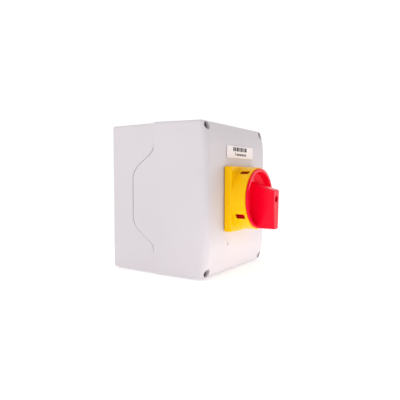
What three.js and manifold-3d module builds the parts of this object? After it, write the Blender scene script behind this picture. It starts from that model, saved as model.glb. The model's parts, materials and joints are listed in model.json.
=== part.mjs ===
// Enclosed rotary isolator switch: a two-part moulded housing, a padlockable red handle on a yellow front
// plate, and a three-stage cam switch hung behind the cover.
//
// Millimetres. Seen from the front, +X is right and +Z is up; +Y points back to the wall. The origin is the
// middle of the flat rear face. The handle stands upright, switched on.
import * as THREE from 'three';
import { mergeVertices } from 'three/addons/utils/BufferGeometryUtils.js';
import Module from 'manifold-3d';

const wasm = await Module();
wasm.setup();

// ---------------------------------------------------------------------------------- driving dimensions
const GAP = 0.3; // clearance between separate pieces that meet

const DEPTH = 116; // rear face to the flat front of the cover
const FRONT_Y = -DEPTH;
const WALL = 3;

const COVER = {
  halfWidth: 64,
  halfHeight: 75,
  draft: 1.35, // each side moves in by this much at the front
  cornerRadius: 3,
  frontEdgeRadius: 6,
  topEdgeRadius: 3,
  flatHalfHeight: 48, // beyond this height the front curves back
  frontArcRadius: 68,
};
const BASE = { halfWidth: 63.1, halfHeight: 74.1, cornerRadius: 2.5, rearEdgeRadius: 1, backWall: 3.5 };

// The parting line runs straight over the top and bottom and swings back in a lobe on both sides.
const PARTING = { y: -55, lobeY: -28, outerZ: 51.7, innerZ: 18.7, outerPull: 13, innerPull: 18, gap: 0.6 };
const SEAL = { innerInset: 2.8, outerInset: 1.5, halfDepth: 1.5 };

const PILLAR = { x: 56.2, z: 68.4, radius: 5, wellRadius: 3.9, seatY: -107, rearY: -3.2 };
const COVER_SCREW = { headRadius: 3.2, headHeight: 2.8, shankRadius: 1.9, slot: 1, tipY: -38 };
const WALL_HOLE = { x: 45, z: 55, radius: 2.6 };
const KNOCKOUT = { x: 28, y: -27, outerRadius: 12.7, innerRadius: 11.5, depth: 1.2 };
const LABEL = { x: 1.5, z: 46.3, width: 56, height: 12.2, thickness: 0.5 };
const DIMPLE = { x: -23.4, z: -44.4, radius: 1.8, depth: 0.8 };

const PLATE = { half: 31.75, frontY: FRONT_Y - 8.5, wall: 2.5, cornerRadius: 1.5, bossRadius: 4.5 };
const PLATE_GROOVE = { depth: 1.2, height: 0.7 }; // around the plate's rear edge
const PLATE_SCREW = { offset: 24, headRadius: 3.4, headHeight: 2.6, shankRadius: 1.7, slot: 1, tipY: -122.5 };
const COLLAR = { outerRadius: 31, innerRadius: 27.6, frontY: FRONT_Y - 22.4, sides: 48 };
const PADLOCK_SLOT = { firstAngle: 33, width: 5.2, rearY: FRONT_Y - 10.5, frontY: FRONT_Y - 20 };

const HANDLE = {
  rimRadius: 29.75,
  rimFrontY: FRONT_Y - 24.6,
  ringWidth: 2.65,
  skirtRadius: 27.1,
  floorY: FRONT_Y - 15.5,
  floorRadius: 20,
  backY: FRONT_Y - 9.2,
  hubRadius: 9.5,
  hubRearY: FRONT_Y - 1.5,
  gripFrontY: FRONT_Y - 41.35,
  gripTopZ: 8.7,
  gripRootZ: 16,
  gripTopHalfWidth: 7.8,
  gripBottomHalfWidth: 5.6,
};
const SCREW_WEB = { frontY: -139, rearY: -136, boreRadius: 3.1 };
const HANDLE_SCREW = { headRadius: 2.8, headHeight: 2.5, shankRadius: 1.6, slot: 0.8, length: 14 };
const LOCK_BOLT = { angle: 33, halfWidth: 2.3, rearY: -126.8, frontY: -129.3, innerR: 13.5, outerR: 26.8 };
const LOCK_TAB = { innerR: 16, outerR: 18.4, frontY: -134, travel: 4.5 };

const SHAFT = { half: 3.5, frontY: -135.7, journalY: -61.1, rearY: -58.2, journalRadius: 3 };
const SHAFT_TAP = { radius: 1.9, depth: 14 };
const SHAFT_BORE_HALF = SHAFT.half + GAP;
const SHAFT_HOLE_RADIUS = 2 * SHAFT.half;
const SHAFT_SEAL = { innerRadius: 9.8, outerRadius: 12.6, seatRadius: 15, rearY: -118.6, frontY: -121.6 };

const LATCH = { half: 30, cornerRadius: 3, flange: 4, frontY: FRONT_Y + WALL + GAP, rearY: -98, floor: 3 };
const LATCH_POCKET_RADIUS = 19.5;
const LATCH_WHEEL = { meanRadius: 10.3, lobe: 1.2, thickness: 8, step: 9 };
const LATCH_SPRING = { z: 9.9, halfWidth: 11, thickness: 0.5, bend: 3, depth: 5, setBack: 2 };

const STAGE = { count: 3, firstY: LATCH.rearY + GAP, depth: 12, half: 27, chamferSum: 40, floor: 1.5 };
const STAGE_PITCH = STAGE.depth + GAP;
const CHAMBER = { camRadius: 12, nearX: 8, farX: STAGE.half - WALL, halfZ: 15.8 };
const CAM = { lowRadius: 8, risePerRadian: 1.9, thickness: 9.4, turn: 90, dwell: 30, fall: 60, step: 10 };
const FOLLOWER = { noseX: CAM.lowRadius + 0.4, shoulder: 2, endX: 14.8 };
const CONTACT = { halfWidth: 3.5, thickness: 1.2, tipRadius: 2.4, tipHeight: 1.4, tipZ: 12.2 };
const BRIDGE = { tipX: 14.05, halfLength: 15 }; // where the moving tips touch when switched on
const STRIP_X = BRIDGE.tipX - GAP - CONTACT.tipHeight - CONTACT.thickness;
const STRIP = { nearZ: 9.6, farZ: 25.5 };
const BRIDGE_SPRING = { radius: 2.6, wire: 0.4, turns: 3, stepsPerTurn: 8 };
const TERMINAL = { z: 21.5, pocketX: 9.5, pocketZ: 17.3 };
const TERMINAL_SCREW = { headRadius: 2.8, headHeight: 2.2, shankRadius: 1.5, slot: 0.8, length: 4.7 };
const TERMINAL_SCREW_SEAT_X = 14.6;
const END_PLATE_DEPTH = 3;
const TIE_ROD = { z: 23.5, headRadius: 3, headHeight: 2.4, shankRadius: 1.6, slot: 0.8, tipMargin: 2 };
const EARTH = { halfWidth: 14, z: -61, halfHeight: 4, height: 10, screwX: 7.5 };
const EARTH_SCREW = { headRadius: 3, headHeight: 2, shankRadius: 1.5, slot: 0.8 };

const ROUND_SIDES = 32; // facets on large round pieces
const HOLE_SIDES = 20; // facets on wells and shaft holes
const SMALL_SIDES = 12; // facets on screws and small holes
const LEAST_CORNER = 0.8; // radius of the sharpest rounded corner
const ARC_STEPS = 2; // half the segments of a rounded corner
const CURVE_STEPS = 6; // segments of each swing of the parting line
const OVERSHOOT = 5; // how far a cutting tool runs past what it cuts

// ---------------------------------------------------------------------------------------- materials
const plastic = (color, roughness) => ({ color, roughness, metalness: 0 });
const metal = (color, roughness) => ({ color, roughness, metalness: 1 });
const HOUSING_GREY = plastic(0xd9d6dc, 0.45);
const SEAL_BLACK = plastic(0x2a2a2c, 0.85);
const SAFETY_YELLOW = plastic(0xffc000, 0.35);
const SAFETY_RED = plastic(0xe80028, 0.3);
const LABEL_WHITE = plastic(0xf4eef0, 0.6);
const SWITCH_BLACK = plastic(0x26282b, 0.5);
const CAM_WHITE = plastic(0xe6e2d6, 0.5);
const ZINC = metal(0xb9bcc0, 0.35);
const SPRING_STEEL = metal(0x8f9296, 0.3);
const BRASS = metal(0xc9a14a, 0.35);
const COPPER = metal(0xc0764a, 0.35);

// ------------------------------------------------------------------------------------ solid helpers
function toSolid(geometry) {
  geometry.deleteAttribute('normal');
  geometry.deleteAttribute('uv');
  const merged = mergeVertices(geometry);
  const index = merged.index.array;
  const corners = [];
  for (let i = 0; i < index.length; i += 3) {
    const [a, b, c] = [index[i], index[i + 1], index[i + 2]];
    if (a !== b && b !== c && c !== a) corners.push(a, b, c);
  }
  const vertProperties = new Float32Array(merged.attributes.position.array);
  return new wasm.Manifold(new wasm.Mesh({ numProp: 3, vertProperties, triVerts: new Uint32Array(corners) }));
}

function toGeometry(solid) {
  const { vertProperties, triVerts } = solid.getMesh();
  const geometry = new THREE.BufferGeometry();
  geometry.setAttribute('position', new THREE.BufferAttribute(vertProperties, 3));
  geometry.setIndex(new THREE.BufferAttribute(triVerts, 1));
  geometry.computeVertexNormals();
  return geometry;
}

function mesh(name, solid, look, x = 0, y = 0, z = 0) {
  const piece = new THREE.Mesh(toGeometry(solid), new THREE.MeshStandardMaterial(look));
  piece.name = name;
  piece.position.set(x, y, z);
  return piece;
}

function group(...pieces) {
  const parent = new THREE.Group();
  parent.add(...pieces);
  return parent;
}

const joined = (solids) => solids.reduce((sum, solid) => sum.add(solid));

// An outline drawn in (x, z), seen from the front, extruded from rearY forward to frontY.
function prismY(outline, rearY, frontY) {
  const options = { depth: rearY - frontY, bevelEnabled: false, curveSegments: ARC_STEPS };
  const geometry = new THREE.ExtrudeGeometry(outline, options);
  geometry.rotateX(Math.PI / 2);
  geometry.translate(0, rearY, 0);
  return toSolid(geometry);
}

// An outline drawn in (y, z), extruded from leftX to rightX.
function prismX(outline, leftX, rightX) {
  const geometry = new THREE.ExtrudeGeometry(outline, { depth: rightX - leftX, bevelEnabled: false });
  const axes = [[0, 1, 0], [0, 0, 1], [1, 0, 0]].map((axis) => new THREE.Vector3(...axis));
  geometry.applyMatrix4(new THREE.Matrix4().makeBasis(...axes));
  geometry.translate(leftX, 0, 0);
  return toSolid(geometry);
}

function rodY(radius, rearY, frontY, x = 0, z = 0, sides = SMALL_SIDES) {
  const geometry = new THREE.CylinderGeometry(radius, radius, rearY - frontY, sides);
  geometry.translate(x, (rearY + frontY) / 2, z);
  return toSolid(geometry);
}

function rodX(radius, leftX, rightX, y, z) {
  const geometry = new THREE.CylinderGeometry(radius, radius, rightX - leftX, SMALL_SIDES);
  geometry.rotateZ(Math.PI / 2);
  geometry.translate((leftX + rightX) / 2, y, z);
  return toSolid(geometry);
}

function rodZ(radius, lowZ, highZ, x, y, sides) {
  const geometry = new THREE.CylinderGeometry(radius, radius, highZ - lowZ, sides);
  geometry.rotateX(Math.PI / 2);
  geometry.translate(x, y, (lowZ + highZ) / 2);
  return toSolid(geometry);
}

function block([minX, maxX], [minY, maxY], [minZ, maxZ]) {
  const geometry = new THREE.BoxGeometry(maxX - minX, maxY - minY, maxZ - minZ);
  geometry.translate((minX + maxX) / 2, (minY + maxY) / 2, (minZ + maxZ) / 2);
  return toSolid(geometry);
}

const around = (centre, half) => [centre - half, centre + half];

// A round solid about the Y axis; the profile is [radius, y] pairs from the rear end of the axis forward.
function lathe(profile, sides = ROUND_SIDES) {
  const points = profile.map(([radius, y]) => new THREE.Vector2(radius, y)).reverse();
  return toSolid(new THREE.LatheGeometry(points, sides));
}

// A solid through a stack of loops, each counter-clockwise seen from the end the stack advances to.
function loft(loops) {
  const count = loops[0].length;
  const index = [];
  for (let level = 0; level + 1 < loops.length; level += 1) {
    for (let j = 0; j < count; j += 1) {
      const next = (j + 1) % count;
      const [low, high] = [level * count, (level + 1) * count];
      index.push(low + j, low + next, high + next, low + j, high + next, high + j);
    }
  }
  const last = (loops.length - 1) * count;
  for (let j = 1; j + 1 < count; j += 1) {
    index.push(0, j + 1, j, last, last + j, last + j + 1);
  }
  const geometry = new THREE.BufferGeometry();
  geometry.setAttribute('position', new THREE.Float32BufferAttribute(loops.flat(2), 3));
  geometry.setIndex(index);
  return toSolid(geometry);
}

function outlineOf(points) {
  return new THREE.Shape(points.map(([a, b]) => new THREE.Vector2(a, b)));
}

function roundedRectangle(halfWidth, halfHeight, wantedRadius) {
  const radius = Math.max(wantedRadius, LEAST_CORNER);
  const shape = new THREE.Shape();
  const [x, z] = [halfWidth - radius, halfHeight - radius];
  const quarter = Math.PI / 2;
  shape.absarc(x, z, radius, 0, quarter);
  shape.absarc(-x, z, radius, quarter, 2 * quarter);
  shape.absarc(-x, -z, radius, 2 * quarter, 3 * quarter);
  shape.absarc(x, -z, radius, 3 * quarter, 4 * quarter);
  return shape;
}

const polar = (radius, degrees) => {
  const angle = THREE.MathUtils.degToRad(degrees);
  return [radius * Math.cos(angle), radius * Math.sin(angle)];
};

const fourCorners = (x, z) => [[-x, z], [x, z], [x, -z], [-x, -z]];
const PILLAR_PLACES = fourCorners(PILLAR.x, PILLAR.z);
const PLATE_SCREW_PLACES = fourCorners(PLATE_SCREW.offset, PLATE_SCREW.offset);

// ----------------------------------------------------------------------------------- housing outlines
// The parting line as [y, z] points from below the housing to above it, moved along Y by shift.
function partingLine(shift) {
  const { y, lobeY, outerZ, innerZ, outerPull, innerPull } = PARTING;
  const swing = new THREE.CubicBezierCurve(
    new THREE.Vector2(lobeY + shift, innerZ),
    new THREE.Vector2(lobeY + shift, innerZ + innerPull),
    new THREE.Vector2(y + shift, outerZ - outerPull),
    new THREE.Vector2(y + shift, outerZ),
  );
  const end = [y + shift, COVER.halfHeight + OVERSHOOT];
  const upper = [...swing.getPoints(CURVE_STEPS).map((point) => [point.x, point.y]), end];
  const lower = upper.map(([py, pz]) => [py, -pz]).reverse();
  return [...lower, ...upper];
}

function partingBand(halfDepth) {
  return prismX(
    outlineOf([...partingLine(-halfDepth), ...partingLine(halfDepth).reverse()]),
    -COVER.halfWidth - OVERSHOOT,
    COVER.halfWidth + OVERSHOOT,
  );
}

// The groove or ring between two insets of the base's outline, following the parting line.
function sealRing(innerInset, outerInset, halfDepth) {
  const frame = (inset) => prismY(
    roundedRectangle(BASE.halfWidth - inset, BASE.halfHeight - inset, BASE.cornerRadius - inset / 2),
    PARTING.lobeY + 2 * OVERSHOOT,
    PARTING.y - 2 * OVERSHOOT,
  );
  return frame(outerInset).subtract(frame(innerInset)).intersect(partingBand(halfDepth));
}

const sealGroove = () => (
  sealRing(SEAL.innerInset + OVERSHOOT, SEAL.outerInset - GAP, SEAL.halfDepth + GAP)
);

function coverFrontY(z, inset) {
  const beyond = Math.max(Math.abs(z) - COVER.flatHalfHeight, 0);
  const radius = COVER.frontArcRadius - inset;
  return FRONT_Y + inset + radius - Math.sqrt(radius * radius - beyond * beyond);
}

// The cover's plan at one height, with round front edges that follow the curve of the front.
function coverPlan(z, inset) {
  const edge = Math.max(COVER.frontEdgeRadius - inset, 1);
  const half = COVER.halfWidth - inset;
  const arcX = half - COVER.draft - edge;
  const frontY = coverFrontY(z, inset);
  const left = [[-half, PARTING.lobeY + OVERSHOOT, z], [-half, PARTING.y, z]];
  for (let step = 0; step <= 2 * ARC_STEPS; step += 1) {
    const [dx, dy] = polar(edge, 180 + (90 * step) / (2 * ARC_STEPS));
    left.push([-arcX + dx, frontY + edge + dy, z]);
  }
  const right = left.map(([x, y]) => [-x, y, z]).reverse();
  return [...left, ...right];
}

function coverLoft(inset) {
  const { flatHalfHeight, halfHeight } = COVER;
  const rise = halfHeight + 1 - flatHalfHeight;
  const upper = [];
  for (let step = 0; step <= 2 * ARC_STEPS; step += 1) {
    upper.push(flatHalfHeight + (rise * step) / (2 * ARC_STEPS));
  }
  const levels = [...upper.map((z) => -z).reverse(), ...upper];
  return loft(levels.map((z) => coverPlan(z, inset)));
}

// The cover's side profile in front of the parting line: drafted top and bottom, round front edges.
function coverProfile(inset, partingShift) {
  const { halfHeight, draft, topEdgeRadius } = COVER;
  const top = halfHeight - inset;
  const frontTop = top - draft;
  const cornerY = coverFrontY(frontTop, inset);
  const round = new THREE.QuadraticBezierCurve(
    new THREE.Vector2(cornerY + topEdgeRadius, frontTop),
    new THREE.Vector2(cornerY, frontTop),
    new THREE.Vector2(cornerY - topEdgeRadius / 3, frontTop - topEdgeRadius),
  );
  const curve = round.getPoints(ARC_STEPS).map((point) => [point.x, point.y]);
  const topRear = [PARTING.y + partingShift, top];
  const upper = [topRear, ...curve, [FRONT_Y - OVERSHOOT, frontTop - topEdgeRadius]];
  const lower = upper.map(([y, z]) => [y, -z]).reverse();
  const rear = partingLine(partingShift).filter(([, z]) => Math.abs(z) < top);
  return outlineOf([...upper, ...lower, ...rear]);
}

function coverBlock(inset, partingShift) {
  const reach = COVER.halfWidth + OVERSHOOT;
  const corner = Math.max(COVER.cornerRadius - inset, 1);
  const front = roundedRectangle(COVER.halfWidth - inset, COVER.halfHeight - inset, corner);
  return coverLoft(inset)
    .intersect(prismX(coverProfile(inset, partingShift), -reach, reach))
    .intersect(prismY(front, PARTING.lobeY + OVERSHOOT, FRONT_Y - OVERSHOOT));
}

// ------------------------------------------------------------------------------------------- housing
function frontCover() {
  const outer = coverBlock(0, -PARTING.gap / 2);
  const hollow = coverBlock(WALL, OVERSHOOT).add(prismY(
    roundedRectangle(COVER.halfWidth - WALL, COVER.halfHeight - WALL, COVER.cornerRadius - WALL),
    PARTING.lobeY + OVERSHOOT,
    PARTING.y,
  ));
  const pillars = PILLAR_PLACES.map(([x, z]) => (
    rodY(PILLAR.radius, PARTING.y, FRONT_Y, x, z).intersect(outer)
  ));
  const holes = PILLAR_PLACES.flatMap(([x, z]) => [
    rodY(PILLAR.wellRadius, PILLAR.seatY, FRONT_Y - OVERSHOOT, x, z, HOLE_SIDES),
    rodY(COVER_SCREW.shankRadius + GAP, PARTING.y + OVERSHOOT, FRONT_Y, x, z),
  ]);
  const plateHoles = PLATE_SCREW_PLACES.map(([x, z]) => (
    rodY(PLATE_SCREW.shankRadius + 2 * GAP, FRONT_Y + 2 * WALL, FRONT_Y - OVERSHOOT, x, z)
  ));
  const shaftHole = rodY(SHAFT_HOLE_RADIUS, FRONT_Y + 2 * WALL, FRONT_Y - OVERSHOOT, 0, 0, HOLE_SIDES);
  const dimple = rodY(DIMPLE.radius, FRONT_Y + DIMPLE.depth, FRONT_Y - OVERSHOOT, DIMPLE.x, DIMPLE.z);
  const cuts = joined([...holes, ...plateHoles, shaftHole, dimple, sealGroove()]);
  return mesh('front_cover', outer.subtract(hollow).add(joined(pillars)).subtract(cuts), HOUSING_GREY);
}

function baseLoop(inset, y) {
  const radius = BASE.cornerRadius - inset / 2;
  const outline = roundedRectangle(BASE.halfWidth - inset, BASE.halfHeight - inset, radius);
  const points = outline.getPoints(ARC_STEPS).map((point) => [point.x, y, point.y]);
  const [first, last] = [points[0], points[points.length - 1]];
  const closed = Math.hypot(first[0] - last[0], first[2] - last[2]) < GAP / 10;
  return closed ? points.slice(0, -1) : points;
}

function baseBlock() {
  const radius = BASE.rearEdgeRadius;
  const loops = [];
  for (let step = 0; step <= ARC_STEPS; step += 1) {
    const [across, along] = polar(radius, (90 * step) / ARC_STEPS);
    loops.push(baseLoop(radius - along, across - radius));
  }
  return loft([...loops, baseLoop(0, PARTING.y - OVERSHOOT)]);
}

function knockoutGroove(x, side) {
  const outerFace = BASE.halfHeight * side;
  const [low, high] = [outerFace - KNOCKOUT.depth, outerFace + KNOCKOUT.depth];
  const disc = (radius) => rodZ(radius, low, high, x, KNOCKOUT.y, HOLE_SIDES);
  return disc(KNOCKOUT.outerRadius).subtract(disc(KNOCKOUT.innerRadius));
}

function rearHousing() {
  const behindParting = prismX(
    outlineOf([
      ...partingLine(PARTING.gap / 2),
      [OVERSHOOT, COVER.halfHeight],
      [OVERSHOOT, -COVER.halfHeight],
    ]),
    -COVER.halfWidth,
    COVER.halfWidth,
  );
  const outer = baseBlock();
  const hollow = prismY(
    roundedRectangle(BASE.halfWidth - WALL, BASE.halfHeight - WALL, BASE.cornerRadius - WALL),
    -BASE.backWall,
    PARTING.y - 2 * OVERSHOOT,
  );
  const pillars = PILLAR_PLACES.map(([x, z]) => (
    rodY(PILLAR.radius, PILLAR.rearY, PARTING.y, x, z).intersect(outer)
  ));
  const screwHoles = PILLAR_PLACES.map(([x, z]) => (
    rodY(COVER_SCREW.shankRadius + GAP, COVER_SCREW.tipY + OVERSHOOT, PARTING.y - OVERSHOOT, x, z)
  ));
  const wallHoles = fourCorners(WALL_HOLE.x, WALL_HOLE.z).map(([x, z]) => (
    rodY(WALL_HOLE.radius, OVERSHOOT, -BASE.backWall - OVERSHOOT, x, z)
  ));
  const grooves = fourCorners(KNOCKOUT.x, 1).map(([x, side]) => knockoutGroove(x, side));
  const earthHoles = [-1, 1].map((side) => (
    rodY(EARTH_SCREW.shankRadius, -1, -BASE.backWall - OVERSHOOT, side * EARTH.screwX, EARTH.z)
  ));
  const cuts = joined([...screwHoles, ...wallHoles, ...grooves, ...earthHoles, sealGroove()]);
  const shell = outer.subtract(hollow).add(joined(pillars)).intersect(behindParting);
  return mesh('rear_housing', shell.subtract(cuts), HOUSING_GREY);
}

function coverSeal() {
  return mesh('cover_seal', sealRing(SEAL.innerInset, SEAL.outerInset, SEAL.halfDepth), SEAL_BLACK);
}

// A screw about its own origin: the underside of the head at y = 0, the head forward, the shank back.
function screw({ headRadius, headHeight, shankRadius, slot }, length) {
  const head = rodY(headRadius, 0, -headHeight);
  const shank = rodY(shankRadius, length, -headHeight / 2);
  const cut = block(around(0, slot / 2), [-2 * headHeight, -headHeight / 2], around(0, 2 * headRadius));
  return head.add(shank).subtract(cut);
}

function coverScrews() {
  const length = COVER_SCREW.tipY - PILLAR.seatY + GAP;
  return PILLAR_PLACES.map(([x, z], i) => (
    mesh(`cover_screw_${i + 1}`, screw(COVER_SCREW, length), ZINC, x, PILLAR.seatY - GAP, z)
  ));
}

function nameLabel() {
  const { width, height, thickness, x, z } = LABEL;
  const tape = prismY(roundedRectangle(width / 2, height / 2, 1), 0, -thickness);
  return mesh('name_label', tape, LABEL_WHITE, x, FRONT_Y - GAP, z);
}

function earthTerminal() {
  const { halfWidth, z, halfHeight, height, screwX } = EARTH;
  const rearY = -BASE.backWall - GAP;
  const seatY = rearY - height - GAP;
  const boreRadius = EARTH_SCREW.shankRadius + GAP;
  const bar = block([-halfWidth, halfWidth], [rearY - height, rearY], around(z, halfHeight));
  const bores = [-1, 1].map((side) => rodY(boreRadius, OVERSHOOT, seatY - 1, side * screwX, z));
  const screws = [-1, 1].map((side, i) => (
    mesh(`earth_screw_${i + 1}`, screw(EARTH_SCREW, height), ZINC, side * screwX, seatY, z)
  ));
  return [mesh('earth_terminal', bar.subtract(joined(bores)), BRASS), ...screws];
}

// ------------------------------------------------------------------------------- front plate and handle
function radialCut({ width, rearY, frontY }, innerR, outerR, degrees) {
  const geometry = new THREE.BoxGeometry(outerR - innerR, rearY - frontY, width);
  geometry.translate((innerR + outerR) / 2, (rearY + frontY) / 2, 0);
  geometry.rotateY(-THREE.MathUtils.degToRad(degrees));
  return toSolid(geometry);
}

function frontPlate() {
  const { half, frontY, wall, cornerRadius, bossRadius } = PLATE;
  const rearY = FRONT_Y - GAP;
  const grooveY = rearY - PLATE_GROOVE.height;
  const rearHalf = half - PLATE_GROOVE.depth;
  const body = prismY(roundedRectangle(half, half, cornerRadius), grooveY, frontY)
    .add(prismY(roundedRectangle(rearHalf, rearHalf, cornerRadius), rearY, grooveY - 1));
  const hollow = prismY(roundedRectangle(half - wall, half - wall, cornerRadius), 0, frontY + wall);
  const bosses = PLATE_SCREW_PLACES.map(([x, z]) => rodY(bossRadius, rearY, frontY + 1, x, z));
  const sealSeat = rodY(SHAFT_SEAL.seatRadius, rearY - 1, frontY + 1, 0, 0, ROUND_SIDES)
    .subtract(rodY(SHAFT_SEAL.outerRadius + GAP, 0, frontY, 0, 0, ROUND_SIDES));
  const collar = rodY(COLLAR.outerRadius, frontY + 1, COLLAR.frontY, 0, 0, COLLAR.sides)
    .subtract(rodY(COLLAR.innerRadius, frontY, COLLAR.frontY - 1, 0, 0, COLLAR.sides));
  const screwHoles = PLATE_SCREW_PLACES.map(([x, z]) => (
    rodY(PLATE_SCREW.shankRadius + GAP, 0, frontY + 1, x, z)
  ));
  const hubHole = rodY(HANDLE.hubRadius + 2 * GAP, 0, COLLAR.frontY, 0, 0, ROUND_SIDES);
  const slots = [0, 90, 180, 270].map((turn) => (
    radialCut(PADLOCK_SLOT, COLLAR.innerRadius - 1, COLLAR.outerRadius + 1, PADLOCK_SLOT.firstAngle + turn)
  ));
  const plate = body.subtract(hollow).add(joined([...bosses, sealSeat, collar]));
  return mesh('front_plate', plate.subtract(joined([...screwHoles, hubHole, ...slots])), SAFETY_YELLOW);
}

function plateScrews() {
  const seatY = LATCH.frontY + LATCH.flange + GAP;
  return PLATE_SCREW_PLACES.map(([x, z], i) => {
    const piece = mesh(`plate_screw_${i + 1}`, screw(PLATE_SCREW, seatY - PLATE_SCREW.tipY), ZINC);
    piece.rotation.z = Math.PI; // driven from inside the cover
    piece.position.set(x, seatY, z);
    return piece;
  });
}

function shaftSeal() {
  const { innerRadius, outerRadius, rearY, frontY } = SHAFT_SEAL;
  const ring = rodY(outerRadius, rearY, frontY, 0, 0, ROUND_SIDES)
    .subtract(rodY(innerRadius, rearY + 1, frontY - 1, 0, 0, ROUND_SIDES));
  return mesh('shaft_seal', ring, SEAL_BLACK);
}

// The dish: a rim in front of the collar, a skirt inside it, and a bowl down to a flat floor.
function handleDish() {
  const { rimRadius, rimFrontY, ringWidth, skirtRadius, floorY, floorRadius, backY } = HANDLE;
  const bowl = new THREE.QuadraticBezierCurve(
    new THREE.Vector2(floorRadius, floorY),
    new THREE.Vector2(rimRadius - ringWidth - 1, floorY),
    new THREE.Vector2(rimRadius - ringWidth, rimFrontY),
  );
  return lathe([
    [0, backY],
    [skirtRadius, backY],
    [skirtRadius, COLLAR.frontY - GAP],
    [rimRadius, COLLAR.frontY - GAP],
    [rimRadius, rimFrontY],
    ...bowl.getPoints(ARC_STEPS + 1).map((point) => [point.x, point.y]).reverse(),
    [0, floorY],
  ]);
}

// The grip: a bar across the dish, narrower at the bottom, whose upper end slopes into the dish.
function handleGrip() {
  const { rimRadius, rimFrontY, skirtRadius, floorY, gripFrontY, gripTopZ, gripRootZ } = HANDLE;
  const { gripTopHalfWidth, gripBottomHalfWidth } = HANDLE;
  const slope = new THREE.QuadraticBezierCurve(
    new THREE.Vector2(floorY, gripRootZ),
    new THREE.Vector2(rimFrontY, gripTopZ + 2),
    new THREE.Vector2(gripFrontY, gripTopZ),
  );
  const side = outlineOf([
    [floorY + 1, gripRootZ],
    ...slope.getPoints(ARC_STEPS + 1).map((point) => [point.x, point.y]),
    [gripFrontY, -rimRadius - 1],
    [floorY + 1, -rimRadius - 1],
  ]);
  const front = outlineOf([
    [-gripTopHalfWidth, gripRootZ + 1],
    [-gripBottomHalfWidth, -rimRadius],
    [gripBottomHalfWidth, -rimRadius],
    [gripTopHalfWidth, gripRootZ + 1],
  ]);
  const envelope = rodY(skirtRadius, floorY + 1, rimFrontY, 0, 0, ROUND_SIDES)
    .add(rodY(rimRadius, COLLAR.frontY - GAP, gripFrontY - 1, 0, 0, ROUND_SIDES));
  return prismX(side, -2 * gripTopHalfWidth, 2 * gripTopHalfWidth)
    .intersect(prismY(front, floorY + 1, gripFrontY - 1))
    .intersect(envelope);
}

function handle() {
  const { backY, hubRadius, hubRearY, gripFrontY, floorY } = HANDLE;
  const hub = rodY(hubRadius, hubRearY, backY - 1, 0, 0, ROUND_SIDES);
  const half = SHAFT_BORE_HALF;
  const shaftBore = block([-half, half], [SCREW_WEB.rearY, 0], [-half, half]);
  const screwBore = rodY(SCREW_WEB.boreRadius, SCREW_WEB.frontY, gripFrontY - 1, 0, 0, HOLE_SIDES);
  const shankBore = rodY(HANDLE_SCREW.shankRadius + 2 * GAP, 0, SCREW_WEB.frontY - 1);
  const channel = { width: 2 * (LOCK_BOLT.halfWidth + GAP), rearY: 0, frontY: LOCK_BOLT.frontY - GAP };
  const window = { width: channel.width, rearY: backY, frontY: floorY - OVERSHOOT };
  const boltCut = radialCut(channel, LOCK_BOLT.innerR - GAP, HANDLE.skirtRadius + 1, LOCK_BOLT.angle);
  const tabEnd = LOCK_TAB.outerR + LOCK_TAB.travel + GAP;
  const tabCut = radialCut(window, LOCK_TAB.innerR - GAP, tabEnd, LOCK_BOLT.angle);
  const cuts = joined([shaftBore, screwBore, shankBore, boltCut, tabCut]);
  return mesh('handle', joined([handleDish(), handleGrip(), hub]).subtract(cuts), SAFETY_RED);
}

// A flat bolt in the back of the handle, with a finger tab that stands in the dish.
function lockBolt() {
  const { angle, halfWidth, rearY, frontY, innerR, outerR } = LOCK_BOLT;
  const bar = radialCut({ width: 2 * halfWidth, rearY, frontY }, innerR, outerR, angle);
  const tabSize = { width: 2 * halfWidth, rearY, frontY: LOCK_TAB.frontY };
  const tab = radialCut(tabSize, LOCK_TAB.innerR, LOCK_TAB.outerR, angle);
  return mesh('lock_bolt', bar.add(tab), SAFETY_RED);
}

function handleScrew() {
  return mesh('handle_screw', screw(HANDLE_SCREW, HANDLE_SCREW.length), ZINC, 0, SCREW_WEB.frontY - GAP, 0);
}

function driveShaft() {
  const { half, frontY, journalY, rearY, journalRadius } = SHAFT;
  const bar = block([-half, half], [frontY, journalY], [-half, half]);
  const journal = rodY(journalRadius, rearY, journalY - 1);
  const tap = rodY(SHAFT_TAP.radius, frontY + SHAFT_TAP.depth, frontY - 1);
  return mesh('drive_shaft', bar.add(journal).subtract(tap), ZINC);
}

// ---------------------------------------------------------------------------------------- cam switch
function octagon(half, chamferSum) {
  const other = chamferSum - half;
  const corners = [[half, other], [other, half], [-other, half], [-half, other]];
  return outlineOf([...corners, ...corners.map(([x, z]) => [-x, -z])]);
}

const squareBore = (rearY, frontY) => (
  block(around(0, SHAFT_BORE_HALF), [frontY - 1, rearY + 1], around(0, SHAFT_BORE_HALF))
);
const tieHoles = (rearY, frontY) => joined([-1, 1].map((side) => (
  rodY(TIE_ROD.shankRadius + GAP, rearY, frontY, 0, side * TIE_ROD.z)
)));
const upwards = (low, high, side) => (side > 0 ? [low, high] : [-high, -low]);

function latchHousing() {
  const { half, cornerRadius, flange, frontY, rearY, floor } = LATCH;
  const flangeBody = prismY(roundedRectangle(half, half, cornerRadius), frontY + flange, frontY);
  const body = prismY(octagon(STAGE.half, STAGE.chamferSum), rearY, frontY);
  const pocket = rodY(LATCH_POCKET_RADIUS, rearY + 1, frontY + floor, 0, 0, ROUND_SIDES);
  const shaftHole = rodY(SHAFT_HOLE_RADIUS, rearY, frontY - 1, 0, 0, HOLE_SIDES);
  const screwHoles = PLATE_SCREW_PLACES.map(([x, z]) => (
    rodY(PLATE_SCREW.shankRadius + GAP, rearY, frontY - 1, x, z)
  ));
  const cuts = joined([pocket, shaftHole, ...screwHoles, tieHoles(rearY + 1, frontY + 1)]);
  return mesh('latch_housing', flangeBody.add(body).subtract(cuts), SWITCH_BLACK);
}

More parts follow.
